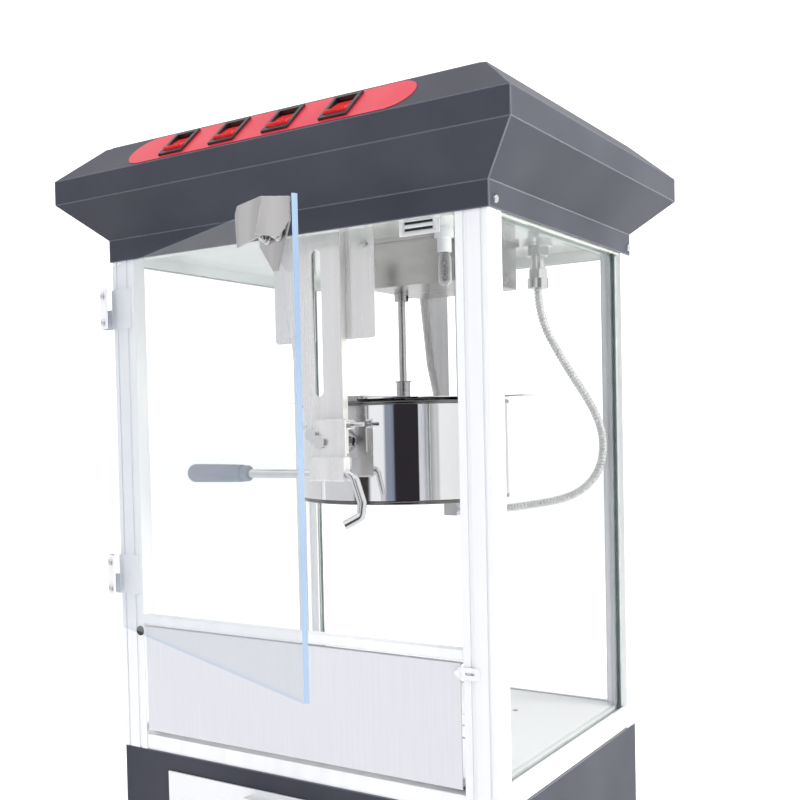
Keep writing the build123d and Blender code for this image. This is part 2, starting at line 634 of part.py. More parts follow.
    cap = -132.4             # centre of the grip's rounded end
    half_root = math.sqrt(0.5)
    with BuildPart() as handle_grip:
        with BuildSketch(Plane.XZ.offset(150)):
            with BuildLine():
                ThreePointArc((cap, rod_z_centre + 9.6),
                              (cap - 9.6 * half_root, rod_z_centre + 9.6 * half_root),
                              (cap - 9.6, rod_z_centre))
                Polyline((cap - 9.6, rod_z_centre), (-100, rod_z_centre), (-100, rod_z_centre + 4.55),
                         (-61, rod_z_centre + 4.55), (-61, rod_z_centre + 8),
                         (-70, rod_z_centre + 8.8), (cap, rod_z_centre + 9.6))
            make_face()
        revolve(axis=Axis((0, -150, rod_z_centre), (1, 0, 0)))
    write(handle_grip, "handle_grip")


# ================= lamp and armoured lead =================
def make_lamp_and_lead():
    lamp = (127.0, -76.0)
    with BuildPart() as lamp_holder:
        rod_z(*lamp, (650, CEILING_Z - 1.5), 9.5)
        rod_z(*lamp, (636, 650), 7)
    write(lamp_holder, "lamp_holder")
    with BuildPart() as lamp_bulb:
        rod_z(*lamp, (601, 636), 6.5)
        fillet(lamp_bulb.edges().filter_by(GeomType.CIRCLE).sort_by(Axis.Z)[0], 6)
    write(lamp_bulb, "lamp_bulb")

    socket = (157.0, 78.0)
    with BuildPart() as conduit_socket:
        rod_z(*socket, (656.5, CEILING_Z - 1.5), 16)
        hex_nut_z(*socket, (647, 656.5), 21)
        rod_z(*socket, (633, 647), 8)
        hex_nut_z(*socket, (623, 633), 18)
        rod_z(*socket, (613, 623), 11)
    write(conduit_socket, "conduit_socket")

    radius = 4.5
    route = [(157, 78, 613), (157, 78, 583), (177, 97, 533), (202, 124, 480), (206.8, 135, 445),
             (199, 138.5, 412), (174, 129, 386), (122, 106, 376.5), (88, 90, 373), (58.2, 90, 373)]
    points = [Vector(*p) for p in route]
    radii = []
    for before, corner, after in zip(points, points[1:], points[2:]):
        half_turn = (corner - before).get_angle(after - corner) / 2
        shorter = min((corner - before).length, (after - corner).length)
        radii.append(0.45 * shorter / math.tan(math.radians(half_turn)))
    print("conduit radii", [round(r, 1) for r in radii])
    with BuildPart() as conduit:
        with BuildLine() as path:
            FilletPolyline(*route, radius=radii)
        with BuildSketch(Plane(origin=path.line @ 0, z_dir=path.line % 0)):
            Circle(radius)
        sweep()
    length = path.wire().length
    print("conduit length", round(length, 1), "volume", round(conduit.part.volume),
          "expected", round(math.pi * radius ** 2 * length))
    write(conduit, "conduit")


# ================= door =================
def make_door():
    ax, ay = DOOR_AXIS
    turn = math.radians(-DOOR_REST)
    # x runs along the sheet from the hinge axis, y through it towards the inside
    door = Plane(origin=(ax, ay, 0), x_dir=(math.cos(turn), math.sin(turn), 0), z_dir=(0, 0, 1))
    sheet_y = (-2.5, 2.5)

    def door_block(x, y, z):
        with BuildSketch(door.offset(z[0])) as outline:
            with Locations(((x[0] + x[1]) / 2, (y[0] + y[1]) / 2)):
                Rectangle(x[1] - x[0], y[1] - y[0])
        extrude(outline.sketch, amount=z[1] - z[0])

    with BuildPart() as door_sheet:
        door_block((5, DOOR_LEN), sheet_y, DOOR_Z)
    write(door_sheet, "door_sheet")

    with BuildPart() as door_hinge_leaves:
        for low, high in HINGE_Z:
            middle = (low + high) / 2
            door_block((0, 19), (-4.1, -2.5), (low, high))
            rod_z(ax, ay, (middle + 0.2, high), KNUCKLE_R)
            rod_z(ax, ay, (low - 1, middle + 0.2), KNUCKLE_R + 0.3, mode=Mode.SUBTRACT)
            rod_z(ax, ay, (middle - 1, high + 1), 1.5 + RUN_FIT, mode=Mode.SUBTRACT)
            for z in (low + 7, high - 7):
                with BuildSketch(Plane(origin=door.from_local_coords((11, -4.1, z)),
                                       x_dir=door.x_dir, z_dir=-door.y_dir)):
                    Circle(3.6)
                extrude(amount=1.8)
    write(door_hinge_leaves, "door_hinge_leaves")

    with BuildPart() as post_hinge_leaves:
        for low, high in HINGE_Z:
            middle = (low + high) / 2
            rod_z(ax, ay, (low, middle - 0.2), KNUCKLE_R)
            rod_z(ax, ay, (low, high), 1.5)
            block((ax, ax + 9.5), (ay + 2.8, ay + 4.3), (low, middle - 0.2))
            block((ax + 9, ax + 36), (-HALF_D - 1.5, -HALF_D), (low, high))
    write(post_hinge_leaves, "post_hinge_leaves")

    top = DOOR_Z[1] - 2
    with BuildPart() as door_handle:
        # flange on the sheet with a tapered tail
        face = Plane(origin=door.from_local_coords((DOOR_LEN, -2.5, top)), x_dir=door.x_dir,
                     z_dir=-door.y_dir)
        with BuildSketch(face):
            with BuildLine():
                Polyline((-50, 0), (-2, 0), (-2, -18), (-22, -52), (-28, -52), (-50, -30), close=True)
            make_face()
        extrude(amount=1.5)
        # web square to the sheet at its free edge
        web = Plane(origin=door.from_local_coords((DOOR_LEN - 2, -4.0, top)), x_dir=-door.y_dir,
                    z_dir=-door.x_dir)
        with BuildSketch(web):
            with BuildLine():
                Polyline((0, 0), (21, -2), (28, -30), (8, -30), (0, -18), close=True)
            make_face()
        extrude(amount=1.5)
        # grip flange parallel to the sheet, closed by the web's outer edge
        grip = Plane(origin=door.from_local_coords((DOOR_LEN - 2, -25, top)), x_dir=door.x_dir,
                     z_dir=-door.y_dir)
        with BuildSketch(grip):
            with BuildLine():
                Polyline((0, -2), (0, -30), (-42, -33), (-44, -8), (-40, -2), close=True)
            make_face()
        extrude(amount=1.5)
        for s in (-37, -19):
            with BuildSketch(Plane(origin=door.from_local_coords((DOOR_LEN + s, -4.0, top - 24)),
                                   x_dir=door.x_dir, z_dir=-door.y_dir)):
                Circle(5)
            extrude(amount=5, taper=12)
    write(door_handle, "door_handle")

    with BuildPart() as door_buffer:
        # round buffer at the left of the sill
        rod_y(-IN_X - 5, (-HALF_D - 1.0, -HALF_D), 257, 5)
    write(door_buffer, "door_buffer")


# ================= drop panel =================
def make_drop_panel():
    half = IN_X - 3
    y0 = -HALF_D
    with BuildPart() as front_panel:
        block((-half, half), (y0, y0 + 1.5), (PANEL_BOTTOM + 1, PANEL_TOP))
        # hems along the top and bottom edges
        block((-half, half), (y0, y0 + 8), (PANEL_TOP - 1.5, PANEL_TOP))
        block((-half, half), (y0 + 0.5, PANEL_AXIS[0] + 3), (PANEL_AXIS[1] - 3, PANEL_AXIS[1] + 3))
        rod_x((-half - 10, half + 10), PANEL_AXIS[0], PANEL_AXIS[1], 2.0)
    write(front_panel, "front_panel")

    with BuildPart() as latch_clip:
        with BuildSketch(Plane.XZ.offset(-y0 + 0.3)):
            with Locations((195, 254)):
                RectangleRounded(22, 11, 4)
                with Locations((2, 0)):
                    SlotOverall(9, 2.4, mode=Mode.SUBTRACT)
        extrude(amount=1.5)
        rod_y(187.0 - 1.5, (y0 - 3.2, y0 - 0.3), 254, 3.0)
    write(latch_clip, "latch_clip")


make_base()
make_drawer()
make_frame()
make_canopy()
make_controls()
make_drive()
make_hangers()
make_kettle()
make_lamp_and_lead()
make_door()
make_drop_panel()
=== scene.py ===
# %% [markdown]
# # A countertop popcorn machine
# The measured model of the machine is already made, and it is loaded here as a fixed frame.
# Blender's part is the look: light, finishes, and the small pieces that catch the eye.
# Everything is in metres. X points to the operator's right, Y to the rear and Z up.

# %% Load the frame
import bpy
import math
from mathutils import Matrix, Vector


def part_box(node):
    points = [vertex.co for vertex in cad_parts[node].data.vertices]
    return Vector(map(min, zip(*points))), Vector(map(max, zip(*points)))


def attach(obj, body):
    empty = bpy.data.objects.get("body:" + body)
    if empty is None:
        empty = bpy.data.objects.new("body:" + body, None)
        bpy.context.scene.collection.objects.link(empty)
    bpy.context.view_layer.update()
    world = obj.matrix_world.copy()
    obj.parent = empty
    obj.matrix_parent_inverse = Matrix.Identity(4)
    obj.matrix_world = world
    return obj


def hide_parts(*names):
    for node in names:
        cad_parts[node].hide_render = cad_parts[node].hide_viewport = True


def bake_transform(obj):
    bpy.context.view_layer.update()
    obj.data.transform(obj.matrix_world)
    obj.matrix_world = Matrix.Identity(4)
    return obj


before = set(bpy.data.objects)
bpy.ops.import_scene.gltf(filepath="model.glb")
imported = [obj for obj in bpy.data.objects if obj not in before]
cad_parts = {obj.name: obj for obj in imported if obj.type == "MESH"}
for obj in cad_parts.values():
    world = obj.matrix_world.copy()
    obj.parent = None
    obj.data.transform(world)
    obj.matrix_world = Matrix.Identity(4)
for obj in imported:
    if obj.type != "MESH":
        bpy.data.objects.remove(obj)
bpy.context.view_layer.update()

# %% [markdown]
# ## Camera
# The machine is looked at from the front right, from a little under the middle of its cabinet.
# A camera's axes are written down as a matrix: right, up and backwards.
# A lens shift frames the upper part without tilting the camera, so the posts stay nearly upright.

# %% Camera
def aim(bearing, rise, roll):
    """A camera's turn: bearing from +Y towards +X, rise over the horizon and roll, in degrees."""
    b, e, r = (math.radians(v) for v in (bearing, rise, roll))
    ahead = Vector((math.sin(b) * math.cos(e), math.cos(b) * math.cos(e), math.sin(e)))
    level = Vector((math.cos(b), -math.sin(b), 0))
    upright = level.cross(ahead)
    right = math.cos(r) * level + math.sin(r) * upright
    up = math.cos(r) * upright - math.sin(r) * level
    return Matrix((right, up, -ahead)).transposed()


camera_data = bpy.data.cameras.new("camera")
camera_data.lens = 48.3
camera_data.sensor_width = 36
camera_data.shift_x = 0.098
camera_data.shift_y = 0.0739
camera_data.clip_end = 60
camera = bpy.data.objects.new("camera", camera_data)
camera.matrix_world = Matrix.Translation((0.6186, -1.0044, 0.4710)) @ aim(-34.66, -1.75, -1.37).to_4x4()
bpy.context.scene.collection.objects.link(camera)
bpy.context.scene.camera = camera
print("camera at", [round(v, 3) for v in camera.location])

# %% [markdown]
# ## Nodes for finishes
# Every finish is a small graph of nodes. It starts from the Principled shader.
# Noise in object coordinates changes its colour and roughness a little from place to place.
# A fine bump stands for the grain of the surface.
# Stretching the coordinates along one axis turns round specks into the scratches of a brushed sheet.

# %% A finish from noise, roughness and bump
def new_finish(name):
    finish = bpy.data.materials.new(name)
    finish.use_nodes = True
    nodes, links = finish.node_tree.nodes, finish.node_tree.links
    return finish, nodes, links, nodes["Principled BSDF"]


def stretched_noise(nodes, links, scale, stretch=(1, 1, 1), detail=3.0):
    """Noise in object coordinates. A small stretch draws the specks out along that axis."""
    place = nodes.new("ShaderNodeTexCoord")
    mapping = nodes.new("ShaderNodeMapping")
    mapping.inputs["Scale"].default_value = stretch
    links.new(place.outputs["Object"], mapping.inputs["Vector"])
    noise = nodes.new("ShaderNodeTexNoise")
    noise.inputs["Scale"].default_value = scale
    noise.inputs["Detail"].default_value = detail
    links.new(mapping.outputs["Vector"], noise.inputs["Vector"])
    return noise.outputs["Fac"]


def spread(nodes, links, value, low, high, start=0.3, end=0.7):
    """Maps noise onto the range from low to high."""
    node = nodes.new("ShaderNodeMapRange")
    node.inputs["From Min"].default_value = start
    node.inputs["From Max"].default_value = end
    node.inputs["To Min"].default_value = low
    node.inputs["To Max"].default_value = high
    links.new(value, node.inputs["Value"])
    return node.outputs["Result"]


def two_tone(nodes, links, value, dark, light):
    ramp = nodes.new("ShaderNodeValToRGB")
    ramp.color_ramp.elements[0].position = 0.3
    ramp.color_ramp.elements[0].color = (*dark, 1)
    ramp.color_ramp.elements[1].position = 0.7
    ramp.color_ramp.elements[1].color = (*light, 1)
    links.new(value, ramp.inputs["Fac"])
    return ramp.outputs["Color"]


def painted_edge_highlight(nodes, links, edge, colour, edge_highlight):
    """Paints a highlight: mixes in a colour where the rounded normal leaves the flat one, which is only
    along an edge.
    """
    flat = nodes.new("ShaderNodeNewGeometry")
    dot = nodes.new("ShaderNodeVectorMath")
    dot.operation = "DOT_PRODUCT"
    links.new(edge.outputs["Normal"], dot.inputs[0])
    links.new(flat.outputs["Normal"], dot.inputs[1])
    amount = spread(nodes, links, dot.outputs["Value"], 0.8, 0.0, 0.86, 0.995)
    mix = nodes.new("ShaderNodeMix")
    mix.data_type = "RGBA"
    links.new(amount, mix.inputs["Factor"])
    links.new(colour, mix.inputs[6])
    mix.inputs[7].default_value = (*edge_highlight, 1)
    return mix.outputs[2]


def surface(name, dark, light, rough, metallic=0.0, scale=40.0, stretch=(1, 1, 1), grain=600.0,
            bump=0.1, depth=0.0002, round_edge=0.0, coat=0.0, specular=0.5, edge_highlight=None):
    """A finish: two tones, a range of roughness and a grain, all drawn by noise.
    Where an edge colour is given, edges within round_edge take it as a painted highlight."""
    finish, nodes, links, shader = new_finish(name)
    shader.inputs["Metallic"].default_value = metallic
    shader.inputs["Coat Weight"].default_value = coat
    shader.inputs["Coat Roughness"].default_value = 0.08
    shader.inputs["Specular IOR Level"].default_value = specular
    tone = stretched_noise(nodes, links, scale, stretch)
    colour = two_tone(nodes, links, tone, dark, light)
    wear = stretched_noise(nodes, links, scale * 0.6, stretch, detail=5.0)
    links.new(spread(nodes, links, wear, *rough), shader.inputs["Roughness"])
    grain_noise = stretched_noise(nodes, links, grain, stretch, detail=2.0)
    relief = nodes.new("ShaderNodeBump")
    relief.inputs["Strength"].default_value = bump
    relief.inputs["Distance"].default_value = depth
    links.new(grain_noise, relief.inputs["Height"])
    if round_edge:
        edge = nodes.new("ShaderNodeBevel")
        edge.samples = 4
        edge.inputs["Radius"].default_value = round_edge
        links.new(edge.outputs["Normal"], relief.inputs["Normal"])
        # the paler colour given for the edges is a painted highlight along them
        if edge_highlight:
            colour = painted_edge_highlight(nodes, links, edge, colour, edge_highlight)
    links.new(colour, shader.inputs["Base Color"])
    links.new(relief.outputs["Normal"], shader.inputs["Normal"])
    print("finish", name)
    return finish


# %% [markdown]
# ## Painted and plated metal
# The canopy and the base are sheet steel with a charcoal powder coat: a dull skin with the fine
# relief of an orange's peel. The Bevel node rounds the folded edges, and a thin paler colour along them
# is a painted highlight.
# The kettle is polished until it mirrors the room, so its shader is almost free of roughness.
# The hangers and the drive box are only brushed, along the length of the sheet.

# %% Metal finishes
# the pale bluish edge colour of the coat is a painted highlight along the folds
powder_coat = surface("charcoal_powder_coat", (0.031, 0.033, 0.048), (0.044, 0.046, 0.064),
                      (0.38, 0.50), scale=9, grain=1400, bump=0.22, round_edge=0.0017,
                      specular=0.25, edge_highlight=(0.26, 0.27, 0.34))
mirror_steel = surface("mirror_steel", (0.80, 0.80, 0.81), (0.86, 0.86, 0.87), (0.03, 0.07),
                       metallic=1, scale=14, grain=200, bump=0.01)
# the near-white edge colour is a painted highlight along the sheet's edges
brushed_upright = surface("brushed_steel_upright", (0.83, 0.82, 0.83), (0.90, 0.89, 0.90),
                          (0.20, 0.32), metallic=0.75, scale=120, stretch=(1, 1, 0.03), grain=900,
                          bump=0.08, round_edge=0.0006, edge_highlight=(0.95, 0.95, 0.95))
brushed_level = surface("brushed_steel_level", (0.64, 0.63, 0.62), (0.70, 0.69, 0.68), (0.22, 0.28),
                        metallic=1, scale=90, stretch=(0.03, 1, 1), grain=900, bump=0.12,
                        round_edge=0.0006)
anodised = surface("bright_anodised_aluminium", (0.76, 0.77, 0.81), (0.82, 0.83, 0.87), (0.30, 0.42),
                   metallic=0.25, scale=70, stretch=(1, 1, 0.02), grain=800, bump=0.05,
                   round_edge=0.0008)
brushed_pale = surface("brushed_pale_sheet", (0.755, 0.76, 0.80), (0.775, 0.78, 0.82), (0.30, 0.36),
                       metallic=0.25, scale=500, stretch=(1, 1, 0.02), grain=1200, bump=0.05,
                       round_edge=0.0005)
panel_sheet = surface("grey_panel_sheet", (0.62, 0.625, 0.68), (0.65, 0.655, 0.71), (0.30, 0.36),
                      metallic=0.25, scale=500, stretch=(1, 1, 0.02), grain=1200, bump=0.05,
                      round_edge=0.0005)
bright_sheet = surface("bright_rolled_sheet", (0.84, 0.88, 0.87), (0.90, 0.93, 0.92), (0.10, 0.18),
                       metallic=0.6, scale=8, grain=700, bump=0.04)
armour = surface("galvanised_hose_armour", (0.60, 0.60, 0.62), (0.74, 0.74, 0.76), (0.20, 0.30),
                 metallic=0.7, scale=120, grain=900, bump=0.08)
# the white edge colour is a painted highlight along the handle's bends and edges
handle_plate = surface("bent_handle_plate", (0.44, 0.43, 0.43), (0.66, 0.65, 0.65), (0.12, 0.22),
                       metallic=1, scale=30, stretch=(1, 1, 0.15), grain=500, bump=0.05,
                       round_edge=0.0007, edge_highlight=(1, 1, 1))
plated = surface("nickel_plate", (0.80, 0.80, 0.81), (0.88, 0.88, 0.89), (0.10, 0.2), metallic=1,
                 scale=60, grain=500, bump=0.05, round_edge=0.0005)
machined = surface("machined_steel", (0.48, 0.48, 0.49), (0.58, 0.58, 0.58), (0.22, 0.34), metallic=1,
                   scale=60, stretch=(1, 1, 6), grain=900, bump=0.1)
# a dark copy of the polished steel: painted shade for the dark bands along the kettle's rolled edges
painted_shade_steel = surface("painted_shade_edge_steel", (0.16, 0.155, 0.155), (0.24, 0.235, 0.235), (0.12, 0.2),
                       metallic=1, scale=40, grain=400, bump=0.02)
ground_steel = surface("ground_steel", (0.52, 0.51, 0.51), (0.60, 0.59, 0.59), (0.14, 0.24), metallic=1,
                       scale=60, stretch=(1, 1, 4), grain=500, bump=0.02)
cast_metal = surface("cast_aluminium", (0.40, 0.41, 0.42), (0.50, 0.50, 0.51), (0.45, 0.6),
                     metallic=0.9, scale=60, grain=500, bump=0.5)

# %% [markdown]
# ## Plastic, rubber and ceramic
# Moulded parts are less even than they seem: the gloss is broken by fine ripples, and rubber is
# nearly matt. The label is a printed film, smooth enough to carry a soft shine.

# %% Plastic finishes
label_film = surface("red_printed_film", (0.50, 0.022, 0.045), (0.55, 0.028, 0.052), (0.30, 0.38),
                     scale=30, grain=900, bump=0.05, specular=0.3)
rocker_red = surface("red_rocker_plastic", (0.80, 0.03, 0.035), (0.88, 0.045, 0.05), (0.12, 0.20),
                     scale=60, grain=700, bump=0.04, coat=0.3, round_edge=0.0010)
bezel_black = surface("black_moulded_plastic", (0.012, 0.010, 0.012), (0.022, 0.018, 0.020),
                      (0.30, 0.42), scale=80, grain=1500, bump=0.25, round_edge=0.0010)
grip_plastic = surface("blue_grey_grip_plastic", (0.165, 0.20, 0.25), (0.195, 0.235, 0.29),
                       (0.36, 0.46), scale=50, grain=900, bump=0.2)
seal_strip = surface("grey_glazing_strip", (0.38, 0.41, 0.43), (0.50, 0.53, 0.55), (0.4, 0.5),
                     scale=60, grain=900, bump=0.1)
rubber = surface("black_rubber", (0.020, 0.020, 0.021), (0.032, 0.032, 0.033), (0.65, 0.8),
                 scale=60, grain=900, bump=0.3)
ceramic = surface("glazed_ceramic", (0.60, 0.61, 0.65), (0.72, 0.73, 0.76), (0.10, 0.25), scale=60,
                  grain=400, bump=0.1)

# %% [markdown]
# ## Clear sheet
# A clear sheet hardly shows where it is looked through, but its cut edges glow pale blue,
# because light that enters the sheet runs along inside it and comes out there.
# The big faces are told from the edges by the direction of the surface in the piece's own space.
# So the finish mixes two: see-through with a weak mirror for the faces, and a tint for the edges.

# %% Clear acrylic
def clear_sheet(name, faces_normal, edge_dark, edge_light, tint, gloss=0.015, bright_normal=None):
    finish, nodes, links, shader = new_finish(name)
    place = nodes.new("ShaderNodeTexCoord")
    dot = nodes.new("ShaderNodeVectorMath")
    dot.operation = "DOT_PRODUCT"
    links.new(place.outputs["Normal"], dot.inputs[0])
    dot.inputs[1].default_value = faces_normal
    size = nodes.new("ShaderNodeMath")
    size.operation = "ABSOLUTE"
    links.new(dot.outputs["Value"], size.inputs[0])
    on_edge = nodes.new("ShaderNodeMath")
    on_edge.operation = "LESS_THAN"
    on_edge.inputs[1].default_value = 0.5
    links.new(size.outputs["Value"], on_edge.inputs[0])

    through = nodes.new("ShaderNodeBsdfTransparent")
    through.inputs["Color"].default_value = (*tint, 1)
    shine = nodes.new("ShaderNodeBsdfGlossy")
    shine.inputs["Roughness"].default_value = 0.02
    wave = nodes.new("ShaderNodeBump")
    wave.inputs["Strength"].default_value = 0.03
    wave.inputs["Distance"].default_value = 0.001
    links.new(stretched_noise(nodes, links, 6.0), wave.inputs["Height"])
    links.new(wave.outputs["Normal"], shine.inputs["Normal"])
    fresnel = nodes.new("ShaderNodeLayerWeight")
    fresnel.inputs["Blend"].default_value = 0.12
    amount = nodes.new("ShaderNodeMath")
    amount.operation = "MULTIPLY_ADD"
    amount.inputs[1].default_value = 0.25
    amount.inputs[2].default_value = gloss
    links.new(fresnel.outputs["Fresnel"], amount.inputs[0])
    face = nodes.new("ShaderNodeMixShader")
    links.new(amount.outputs["Value"], face.inputs["Fac"])
    links.new(through.outputs["BSDF"], face.inputs[1])
    links.new(shine.outputs["BSDF"], face.inputs[2])

    glow = stretched_noise(nodes, links, 12.0, (1, 1, 0.4))
    links.new(two_tone(nodes, links, glow, edge_dark, edge_light), shader.inputs["Base Color"])
    shader.inputs["Roughness"].default_value = 0.25
    cut_edge = shader.outputs["BSDF"]
    if bright_normal:
        # only the edge that faces this way glows strongly; the others are almost clear
        facing = nodes.new("ShaderNodeVectorMath")
        facing.operation = "DOT_PRODUCT"
        links.new(place.outputs["Normal"], facing.inputs[0])
        facing.inputs[1].default_value = bright_normal
        pale = nodes.new("ShaderNodeBsdfTransparent")
        pale.inputs["Color"].default_value = (0.80, 0.86, 0.92, 1)
        edges = nodes.new("ShaderNodeMixShader")
        # seen from inside the sheet the opposite edge faces this way too, so it is left out
        side = nodes.new("ShaderNodeNewGeometry")
        outside = nodes.new("ShaderNodeMath")
        outside.operation = "SUBTRACT"
        outside.inputs[0].default_value = 1.0
        links.new(side.outputs["Backfacing"], outside.inputs[1])
        strength = nodes.new("ShaderNodeMath")
        strength.operation = "MULTIPLY"
        links.new(spread(nodes, links, facing.outputs["Value"], 0.22, 1.0, 0.4, 0.6), strength.inputs[0])
        links.new(outside.outputs["Value"], strength.inputs[1])
        links.new(strength.outputs["Value"], edges.inputs["Fac"])
        links.new(pale.outputs["BSDF"], edges.inputs[1])
        links.new(shader.outputs["BSDF"], edges.inputs[2])
        cut_edge = edges.outputs["Shader"]
    whole = nodes.new("ShaderNodeMixShader")
    links.new(on_edge.outputs["Value"], whole.inputs["Fac"])
    links.new(face.outputs["Shader"], whole.inputs[1])
    links.new(cut_edge, whole.inputs[2])
    links.new(whole.outputs["Shader"], nodes["Material Output"].inputs["Surface"])
    print("finish", name)
    return finish


door_turn = math.radians(25)
door_glass = clear_sheet("door_acrylic", (math.sin(door_turn), math.cos(door_turn), 0),
                         (0.15, 0.21, 0.33), (0.22, 0.29, 0.41), (0.985, 0.992, 1.0),
                         bright_normal=(math.cos(door_turn), -math.sin(door_turn), 0))
side_glass = clear_sheet("side_pane_glass", (1, 0, 0), (0.30, 0.42, 0.43), (0.45, 0.58, 0.58),
                         (0.988, 0.992, 0.992))
rear_glass = clear_sheet("rear_pane_glass", (0, 1, 0), (0.30, 0.42, 0.43), (0.45, 0.58, 0.58),
                         (0.988, 0.992, 0.992))

# %% [markdown]
# ## Dressing the frame
# Each node of the measured model gets its finish in its own material slots.
# The node itself is neither moved nor changed.

# %% Finishes on the CAD nodes
wardrobe = {
    powder_coat: "canopy_front canopy_rear canopy_left canopy_right canopy_top base_shell",
    mirror_steel: "kettle_pot kettle_base lid_left lid_right trunnion_pins",
    brushed_upright: "hanger_front hanger_rear hanger_plates handle_bracket",
    brushed_level: "drive_box stirrer",
    bright_sheet: "ceiling_plate top_rails",
    brushed_pale: "crumb_drawer floor_deck door_hinge_leaves post_hinge_leaves latch_clip",
    panel_sheet: "front_panel",
    armour: "conduit",
    anodised: "post_front_left post_front_right post_rear_left post_rear_right "
              "bottom_rails front_sill",
    handle_plate: "door_handle",
    plated: "handle_rod conduit_socket kettle_gland hanger_bolts canopy_screws",
    machined: "drive_shaft motor_dog kettle_heater kettle_crossbar",
    cast_metal: "gear_motor",
    label_film: "control_label",
    rocker_red: "light_rocker warmer_rocker motor_rocker kettle_rocker",
    bezel_black: "switch_bezels power_inlet",
    grip_plastic: "handle_grip",
    rubber: "rubber_feet door_buffer",
    seal_strip: "pane_seals",
    ceramic: "lamp_holder lamp_bulb",
    door_glass: "door_sheet",
    side_glass: "side_panes",
    rear_glass: "rear_pane",
}


def dress(piece, finish):
    piece.data.materials.clear()
    piece.data.materials.append(finish)


dressed = [name for names in wardrobe.values() for name in names.split()]
for finish, names in wardrobe.items():
    for name in names.split():
        dress(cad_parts[name], finish)
print("bare nodes", sorted(set(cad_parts) - set(dressed)))

# %% [markdown]
# ## Light
# The light is bright and even: a pale room lights the piece from all round.
# Polished metal needs something dark to mirror, or it looks like white paint. In a studio black
# cards stand beside the lens, and here the room itself has a few dark upright bands.
# A large soft lamp to the right lifts the canopy's side.

# %% Room and lamps
room = bpy.data.worlds.new("studio_room")
bpy.context.scene.world = room
room.use_nodes = True
room_nodes, room_links = room.node_tree.nodes, room.node_tree.links
room_nodes.clear()
direction = room_nodes.new("ShaderNodeTexCoord")
split = room_nodes.new("ShaderNodeSeparateXYZ")
room_links.new(direction.outputs["Generated"], split.inputs["Vector"])
bearing = room_nodes.new("ShaderNodeMath")
bearing.operation = "ARCTAN2"
room_links.new(split.outputs["X"], bearing.inputs[0])
room_links.new(split.outputs["Y"], bearing.inputs[1])
turn = room_nodes.new("ShaderNodeMapRange")
turn.inputs["From Min"].default_value = -math.pi
turn.inputs["From Max"].default_value = math.pi
room_links.new(bearing.outputs["Value"], turn.inputs["Value"])
bands = room_nodes.new("ShaderNodeValToRGB")
bands.color_ramp.interpolation = "LINEAR"
lens_bearing = math.degrees(math.atan2(0.568, -0.822))


def band_at(offset, grey):
    """A stop of the room's brightness, offset degrees round from the lens."""
    angle = (lens_bearing + offset + 180) % 360 - 180
    stop = bands.color_ramp.elements.new((angle + 180) / 360)
    stop.color = (*grey, 1)


white, pale, blue_grey, black = (1, 1, 1), (0.72, 0.72, 0.73), (0.27, 0.30, 0.38), (0.030, 0.026, 0.032)
bands.color_ramp.elements[0].color = (1, 1, 1, 1)
bands.color_ramp.elements[1].color = (1, 1, 1, 1)
mid_grey, dark_grey, brown_black = (0.5, 0.5, 0.5), (0.22, 0.21, 0.2), (0.03, 0.022, 0.02)
for offset, grey in ((-34, white), (-31, mid_grey), (-30, pale), (-20, dark_grey), (-16, black),
                     (15, black), (17, blue_grey), (25, blue_grey), (27, white), (42, white),
                     (45, brown_black), (60, brown_black), (64, pale)):
    band_at(offset, grey)
room_links.new(turn.outputs["Result"], bands.inputs["Fac"])
# the cards end half-way up, so what faces upwards mirrors a white ceiling
height = room_nodes.new("ShaderNodeMapRange")
height.inputs["From Min"].default_value = 0.30
height.inputs["From Max"].default_value = 0.55
room_links.new(split.outputs["Z"], height.inputs["Value"])
overhead = room_nodes.new("ShaderNodeMix")
overhead.data_type = "RGBA"
room_links.new(height.outputs["Result"], overhead.inputs["Factor"])
room_links.new(bands.outputs["Color"], overhead.inputs[6])
overhead.inputs[7].default_value = (1, 1, 1, 1)
mirrored = room_nodes.new("ShaderNodeBackground")
room_links.new(overhead.outputs[2], mirrored.inputs["Color"])
plain = room_nodes.new("ShaderNodeBackground")
plain.inputs["Color"].default_value = (1, 1, 1, 1)
ray = room_nodes.new("ShaderNodeLightPath")
power = room_nodes.new("ShaderNodeMath")
power.operation = "MULTIPLY_ADD"
power.inputs[1].default_value = 0.5
power.inputs[2].default_value = 1.1
room_links.new(ray.outputs["Is Camera Ray"], power.inputs[0])
room_links.new(power.outputs["Value"], plain.inputs["Strength"])
choice = room_nodes.new("ShaderNodeMixShader")
room_links.new(ray.outputs["Is Glossy Ray"], choice.inputs["Fac"])
room_links.new(plain.outputs["Background"], choice.inputs[1])
room_links.new(mirrored.outputs["Background"], choice.inputs[2])
output = room_nodes.new("ShaderNodeOutputWorld")
room_links.new(choice.outputs["Shader"], output.inputs["Surface"])


def soft_lamp(name, place, target, width, height, power, colour=(1, 1, 1)):
    data = bpy.data.lights.new(name, "AREA")
    data.color = colour
    data.shape = "RECTANGLE"
    data.size, data.size_y, data.energy = width, height, power
    lamp = bpy.data.objects.new(name, data)
    lamp.location = place
    lamp.rotation_euler = (Vector(target) - Vector(place)).to_track_quat("-Z", "Y").to_euler()
    lamp.visible_glossy = False
    bpy.context.scene.collection.objects.link(lamp)
    print("lamp", name, power)


soft_lamp("side_lamp", (2.6, 0.4, 1.2), (0.1, 0, 0.5), 1.6, 2.0, 140, (1.0, 1.0, 0.85))
soft_lamp("top_lamp", (-0.5, -0.9, 2.6), (0, 0, 0.6), 2.0, 2.0, 25)
bpy.context.scene.view_settings.view_transform = "Standard"

# %% [markdown]
# ## Floor
# A plain pale floor, large enough that its end is lost in the brightness of the room.

